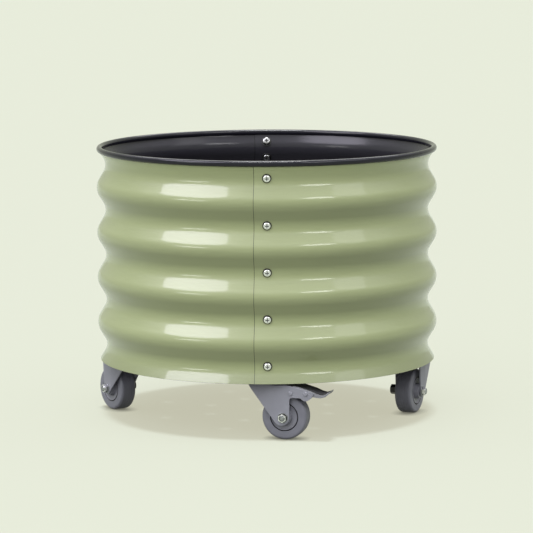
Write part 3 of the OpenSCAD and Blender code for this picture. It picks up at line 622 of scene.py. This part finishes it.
# Turned pieces are collected as rings of points, joined in order
def newBag():
    return {"points": [], "faces": [], "tones": [], "kinds": []}


# One body of rings, whose ends are closed by a face or, where looped, joined to each other
def addRings(bag, place, rows, tones=None, kinds=None, looped=False):
    first, count = len(bag["points"]), len(rows[0])
    kinds = kinds or [0] * len(rows)
    for i, row in enumerate(rows):
        bag["points"] += [place @ Vector(p) for p in row]
        bag["tones"] += tones[i] if tones else [0.0] * count
    for i in range(len(rows) if looped else len(rows) - 1):
        a, b = first + i * count, first + ((i + 1) % len(rows)) * count
        for j in range(count):
            k = (j + 1) % count
            bag["faces"].append((a + j, a + k, b + k, b + j))
            bag["kinds"].append(kinds[i])
    if not looped:
        for base, kind in ((first, kinds[0]), (first + (len(rows) - 1) * count, kinds[-1])):
            bag["faces"].append(tuple(base + j for j in range(count)))
            bag["kinds"].append(kind)


def bagPiece(name, bag, materials, body, node):
    mesh = newMesh(name, bag["points"], bag["faces"], bag["kinds"])
    closeMesh(mesh)
    # The tones become the mesh's 'seam' mark, where the finish lays painted shade
    markPoints(mesh, "seam", bag["tones"])
    newPiece(name, mesh, sharp["turned"], materials, body, node)


def circleOf(radius, z, count):
    return [(radius * math.cos(2 * math.pi * j / count), radius * math.sin(2 * math.pi * j / count), z)
            for j in range(count)]


# Rings and tones of a turned profile, whose points are radius, height and tone
def turnedRings(profile, count):
    return [circleOf(r, z, count) for r, z, tone in profile], [[tone] * count for r, z, tone in profile]


# Polygon with rounded corners: each point is x, y, corner radius, tone
def rounded(points, steps):
    line = []
    for i, (x, y, radius, tone) in enumerate(points):
        here = Vector((x, y))
        if radius == 0:
            line.append((x, y, tone))
            continue
        before = (Vector(points[i - 1][:2]) - here).normalized()
        after = (Vector(points[(i + 1) % len(points)][:2]) - here).normalized()
        half = before.angle(after) / 2
        centre = here + (before + after).normalized() * radius / math.sin(half)
        start = here + before * radius / math.tan(half) - centre
        end = here + after * radius / math.tan(half) - centre
        first = math.atan2(start.y, start.x)
        sweep = (math.atan2(end.y, end.x) - first + math.pi) % (2 * math.pi) - math.pi
        for k in range(steps + 1):
            a = first + sweep * k / steps
            line.append((centre.x + radius * math.cos(a), centre.y + radius * math.sin(a), tone))
    return line


# Seam fasteners: pan heads with a cross recess outside, domed sleeve nuts inside
seam = {
    "tilt": 7, "upperTilt": 25.5, "lowerSlide": 0.005, "sealHeight": 0.002, "innerSeal": 0.0012,
    "panStack": 0.00165, "gap": 0.00005, "seatGap": 0.0003, "boltRadius": 0.003, "sleeveRadius": 0.0045,
    "headRadius": 0.0065, "headHeight": 0.0038, "innerRadius": 0.0075, "innerHeight": 0.0044,
    "domeShare": 0.75, "crown": 0.0003, "recessWidth": 0.0014, "recessLength": 0.0072, "recessDepth": 0.0022,
    "recessSlope": 0.00035, "armSlope": 0.0013, "endRadius": 0.0005, "middleRadius": 0.0001, "chamfer": 0.0004,
    "boltTones": (0.3, 0.8), "nutTones": (0.9, 1.0), "recessGain": 1.6, "rimFrom": 0.93, "rings": 26,
    "roundSteps": 8, "turnSteps": 88,
}


def seamPlaces(side):
    tilt, last = math.radians(seam["tilt"]), wall["waves"]
    places = [valleyPoint(k, tilt) for k in range(last)]
    if side == 0:
        return places + [valleyPoint(last, tilt)]
    return places + [valleyPoint(last, math.radians(seam["upperTilt"])),
                     slideAlong(valleyPoint(last, -flank), -1, seam["lowerSlide"])]


def onWall(side, place):
    turn = Matrix.Rotation(math.pi * side, 4, "Z")
    return turn @ Matrix.Translation((0, -place[0], place[1])) @ Matrix.Rotation(math.pi / 2 - place[2], 4, "X")


# Rings of a domed head from its foot to its middle, with the recess pressed in, and their tones: painted shade in the
# recess and round the head's rim
def headRings(radius, height, rimShade, crossShade):
    corner, turns = seam["domeShare"] * height, seam["turnSteps"]
    flat = radius - corner
    levels = [(flat + corner * math.cos(a), height - corner + corner * math.sin(a))
              for a in [math.pi / 2 * i / seam["roundSteps"] for i in range(seam["roundSteps"] + 1)]]
    levels += [(flat * (1 - i / seam["rings"]) + seam["middleRadius"], height) for i in range(1, seam["rings"] + 1)]
    rows, tones = turnedRings([(radius, 0, rimShade)], turns)
    for r, z in levels:
        row, tone = [], []
        rim = clamp((r / radius - seam["rimFrom"]) / (1 - seam["rimFrom"]))
        for x, y, level in circleOf(r, z - seam["crown"] * min(r / flat, 1) ** 2 * z / height, turns):
            across, along = sorted((abs(x), abs(y)))
            deep = clamp((seam["recessWidth"] / 2 - across) / seam["recessSlope"])
            deep *= clamp((seam["recessLength"] / 2 - along) / seam["armSlope"])
            row.append((x, y, level - seam["recessDepth"] * deep))
            tone.append(max(crossShade * min(deep * seam["recessGain"], 1), rimShade * rim))
        rows.append(row)
        tones.append(tone)
    return rows, tones


# Adds a turned stem with a domed head on it
def addFastener(bag, place, stem, radius, height, headShades):
    rows, tones = turnedRings([(r, z, 0.0) for r, z in stem], seam["turnSteps"])
    headRows, headMarks = headRings(radius, height, *headShades)
    addRings(bag, place, rows + headRows, tones + headMarks)


def seamFasteners():
    bolts, nuts = newBag(), newBag()
    gap, end, shank, sleeve = seam["gap"], seam["endRadius"], seam["boltRadius"], seam["sleeveRadius"]
    for side in (0, 1):
        for k, place in enumerate(seamPlaces(side)):
            half = wall["sheet"] / 2 + lapShift * math.cos(place[2])
            tip = half + seam["innerSeal"] - seam["seatGap"]
            seat = half + seam["sealHeight"] + gap
            stem = [(end, -seat - tip), (shank - seam["chamfer"], -seat - tip),
                    (shank, -seat - tip + seam["chamfer"]), (shank, 0)]
            outward = Matrix.Translation((0, 0, seat))
            addFastener(bolts, onWall(side, place) @ outward, stem, seam["headRadius"], seam["headHeight"],
                        seam["boltTones"])
            seat = half + (seam["panStack"] if k == 0 else 0) + seam["innerSeal"]
            stem = [(end, -gap), (shank + gap, -gap), (shank + gap, -seat - gap - half),
                    (sleeve, -seat - gap - half), (sleeve, 0)]
            inward = Matrix.Translation((0, 0, -seat - gap)) @ Matrix.Rotation(math.pi, 4, "X")
            addFastener(nuts, onWall(side, place) @ inward, stem, seam["innerRadius"], seam["innerHeight"],
                        seam["nutTones"])
    bagPiece("seamBolts", bolts, ["brightNickel"], "tub", "seam_bolts")
    bagPiece("sleeveNuts", nuts, ["dullNickel"], "tub", "seam_nuts")


seamFasteners()
print("seam fasteners made")

# Casters: where each stands, how it is turned at rest and on which side its nut is
caster = {
    "shift": 0.005, "swivelRadius": 0.262008345, "trail": 0.028, "axleZ": 0.04, "forkWidth": 0.0482,
    "angles": {"front": -90, "right": 0, "back": 90, "left": 180},
    "yaws": {"front": -15.2, "right": -113, "back": 15.2, "left": 124.3},
    "nutSides": {"front": -1, "right": 1, "back": 1, "left": 1},
}


def axlePlace(corner):
    side = math.radians(caster["angles"][corner])
    kingpin = Matrix.Translation((caster["shift"] + caster["swivelRadius"] * math.cos(side),
                                  caster["swivelRadius"] * math.sin(side), 0))
    yaw = Matrix.Rotation(math.radians(caster["yaws"][corner]), 4, "Z")
    turn = Matrix.Rotation(-math.pi / 2 * caster["nutSides"][corner], 4, "X")
    return kingpin @ yaw @ Matrix.Translation((caster["trail"], 0, caster["axleZ"])) @ turn


wheel = {
    "radius": 0.04, "width": 0.03, "hubRadius": 0.024, "sleeveRadius": 0.006, "tyreGap": 0.00005,
    "grooveWidth": 0.0011, "grooveDepth": 0.0015, "grooveFoot": 0.75, "grooveEdge": 0.25, "shoulder": 0.005,
    "treadWidth": 0.01, "treadDrop": 0.0005, "ribs": (0.0095, 0.0048, 0.0), "ribWidth": 0.0007,
    "ribDepth": 0.0003, "ribTone": 0.35, "bossRadius": 0.013, "bossFace": 0.0210, "bossEdge": 1.2,
    "bossFoot": 0.5, "dish": 0.0024, "dishRise": 0.6, "rimWidth": 0.0022, "rimEdge": 0.5, "edge": 0.0006,
    "roundSteps": 10, "turnSteps": 144,
}


# Half a section runs from the bore out over one face; the other half is its mirror
def wheelRing(name, corner, half, material):
    section = rounded(half + [(x, -y, r, tone) for x, y, r, tone in reversed(half)], wheel["roundSteps"])
    bag = newBag()
    addRings(bag, axlePlace(corner), *turnedRings(section, wheel["turnSteps"]), looped=True)
    bagPiece(name + corner.capitalize(), bag, [material], "wheel_" + corner, name + "_" + corner)


def wheelParts(corner):
    face, hub, edge, dish = wheel["width"] / 2, wheel["hubRadius"], wheel["edge"], wheel["dish"]
    bore, width, depth = hub + wheel["tyreGap"], wheel["grooveWidth"], wheel["grooveDepth"]
    foot, footFace = wheel["grooveFoot"] * width, face - (1 - wheel["grooveFoot"]) * depth
    tread = []
    for y in wheel["ribs"]:
        surface = wheel["radius"] - wheel["treadDrop"] * max(0, (y - wheel["treadWidth"] / 2) / wheel["treadWidth"])
        tread += [(surface, y + wheel["ribWidth"] / 2, 0, 0.0), (surface - wheel["ribDepth"], y, 0, wheel["ribTone"])]
        if y > 0:
            tread.append((surface, y - wheel["ribWidth"] / 2, 0, 0.0))
    # Tones: painted shade in the groove between tyre and hub and in the tread's rib grooves
    tyre = [(bore, face - depth, 0, 1.0), (bore + foot, footFace, 0, 1.0),
            (bore + width, face, width * wheel["grooveEdge"], 0.0),
            (wheel["radius"] - wheel["treadDrop"], face, wheel["shoulder"], 0.0)] + tread
    wheelRing("tyre", corner, tyre, "treadGrey")
    boss, bossFace = wheel["bossRadius"], wheel["bossFace"]
    core = [(wheel["sleeveRadius"], bossFace, 0, 0.0), (boss, bossFace, edge * wheel["bossEdge"], 0.0),
            (boss + dish * wheel["bossFoot"], face - dish, edge, 0.0),
            (hub - wheel["rimWidth"] - width, face - dish * wheel["dishRise"], edge, 0.0),
            (hub - width, face, edge * wheel["rimEdge"], 0.0), (hub - foot, footFace, 0, 1.0),
            (hub, face - depth, 0, 1.0)]
    wheelRing("hub", corner, core, "hubGrey")


axle = {
    "radius": 0.004, "gap": 0.00005, "headFlats": 0.0155, "headHeight": 0.0107, "headChamfer": 20,
    "headEdge": 0.0004, "dimpleRim": 0.0025, "dimpleSlope": 0.0005, "dimpleDepth": 0.0012, "endRadius": 0.0005,
    "endChamfer": 0.0005, "tip": 0.0003, "nutFlats": 0.013, "nutHeight": 0.0055, "nutChamfer": 25,
    "nutTones": (0.6, 0.6, 0.3, 0.0, 0.0, 0.0, 1.0, 0.6, 0.0, 0.3, 1.0, 1.0), "collarRadius": 0.0054,
    "collarHeight": 0.0007, "collarFoot": 0.0004, "collarEdge": 0.0003, "insert": 0.0049,
    "washerRadius": 0.009, "washerHeight": 0.0012, "washerEdge": 0.0004, "washerFine": 0.0002,
    "washerDark": 0.0078, "washerTone": 0.9, "washerSteps": 4, "turnSteps": 96,
}
axleSeat = caster["forkWidth"] / 2 + axle["gap"]


def hexRing(flats, level, chamfer):
    row = []
    for j in range(axle["turnSteps"]):
        turn = 2 * math.pi * j / axle["turnSteps"]
        reach = flats / 2 / math.cos((turn + math.pi / 6) % (math.pi / 3) - math.pi / 6)
        z = level - (reach - flats / 2) * math.tan(math.radians(chamfer))
        row.append((reach * math.cos(turn), reach * math.sin(turn), z))
    return row


# Washer and flanged lock nut on one side of the fork
def axleNut(corner):
    turns, fine, low = axle["turnSteps"], axle["washerFine"], axle["washerHeight"]
    bore = axle["radius"] + axle["gap"]
    # Tones on washer and nut are painted shade: where the nut sits on the washer, at the collar's foot and in the
    # bore
    washer = rounded([(bore, 0, 0, 0.0), (axle["washerRadius"], 0, fine, 0.0),
                      (axle["washerRadius"], low, axle["washerEdge"], 0.0),
                      (axle["washerDark"], low, 0, axle["washerTone"]), (bore, low, fine, 1.0)], axle["washerSteps"])
    bag = newBag()
    base = axlePlace(corner) @ Matrix.Translation((0, 0, axleSeat))
    addRings(bag, base, *turnedRings(washer, turns), kinds=[1] * len(washer), looped=True)
    flats, collar, insert = axle["nutFlats"], axle["collarRadius"], axle["insert"]
    high, foot = low + axle["nutHeight"], axle["collarFoot"]
    top = high + axle["collarHeight"]
    rows = [circleOf(bore, low, turns), circleOf(flats / 2, low, turns), hexRing(flats, low, -axle["nutChamfer"]),
            hexRing(flats, high, axle["nutChamfer"]), circleOf(flats / 2, high, turns),
            circleOf(collar + foot, high, turns), circleOf(collar, high, turns), circleOf(collar, high + foot, turns),
            circleOf(collar - axle["collarEdge"], top, turns), circleOf(insert, top, turns),
            circleOf(insert, high, turns), circleOf(bore, high, turns)]
    addRings(bag, base, rows, [[tone] * turns for tone in axle["nutTones"]], looped=True)
    bagPiece("axleNut" + corner.capitalize(), bag, ["nutSteel", "zincPlate"], "swivel_" + corner,
             "axle_nut_" + corner)


# Hexagon bolt with a dimple in its head, through the fork to the tip past the nut
def axleBolt(corner):
    turns, flats, radius = axle["turnSteps"], axle["headFlats"], axle["radius"]
    crown, rim = -axleSeat - axle["headHeight"], flats / 2 - axle["dimpleRim"]
    end = axleSeat + axle["washerHeight"] + axle["nutHeight"] + axle["collarHeight"] + axle["tip"] - axle["gap"]
    head = [circleOf(axle["endRadius"], crown + axle["dimpleDepth"], turns),
            circleOf(rim - axle["dimpleSlope"], crown + axle["dimpleDepth"], turns), circleOf(rim, crown, turns),
            circleOf(flats / 2 - axle["headEdge"], crown, turns), hexRing(flats, crown, -axle["headChamfer"]),
            hexRing(flats, -axleSeat, 0)]
    shank = [circleOf(radius, -axleSeat, turns), circleOf(radius, end - axle["endChamfer"], turns),
             circleOf(radius - axle["endChamfer"], end, turns), circleOf(axle["endRadius"], end, turns)]
    bag = newBag()
    addRings(bag, axlePlace(corner), head + shank, kinds=[0] * len(head) + [1] * len(shank))
    bagPiece("axleBolt" + corner.capitalize(), bag, ["blackOxide", "zincPlate"], "swivel_" + corner,
             "axle_bolt_" + corner)


for corner in corners:
    wheelParts(corner)
    axleNut(corner)
    axleBolt(corner)
print("wheels and axles made")

# Finishes of the CAD pieces that stay as they are
cadFinishes = {
    "seam_washers": "blackSeal", "base_pan": "charcoalPowder", "cross_plate": "charcoalPowder",
    "swivel_bolts": "zincPlate", "swivel_washers": "zincPlate", "swivel_nuts": "zincPlate", "race_cup": "zincPlate",
    "race_balls": "brightNickel", "fork": "casterGrey", "sleeve": "zincPlate", "brake_pedal": "pedalGrey",
    "brake_pad": "blackSeal", "brake_rivets": "casterGrey", "brake_spring": "zincPlate",
}


def dressNodes():
    for name, piece in nodes.items():
        stem = name
        for corner in corners:
            stem = stem.replace("_" + corner, "")
        if stem in cadFinishes:
            piece.data.materials.clear()
            piece.data.materials.append(finishes[cadFinishes[stem]])


dressNodes()
print("CAD pieces dressed")

# The floor's own sun sees the pan and the casters, so the shadow has the pan's edge
linkLight(floorLamp, floor, [piece for piece in bpy.data.objects
                             if piece.type == "MESH" and piece not in wallPieces and piece is not floor])
print("floor light linked")

print("finished")
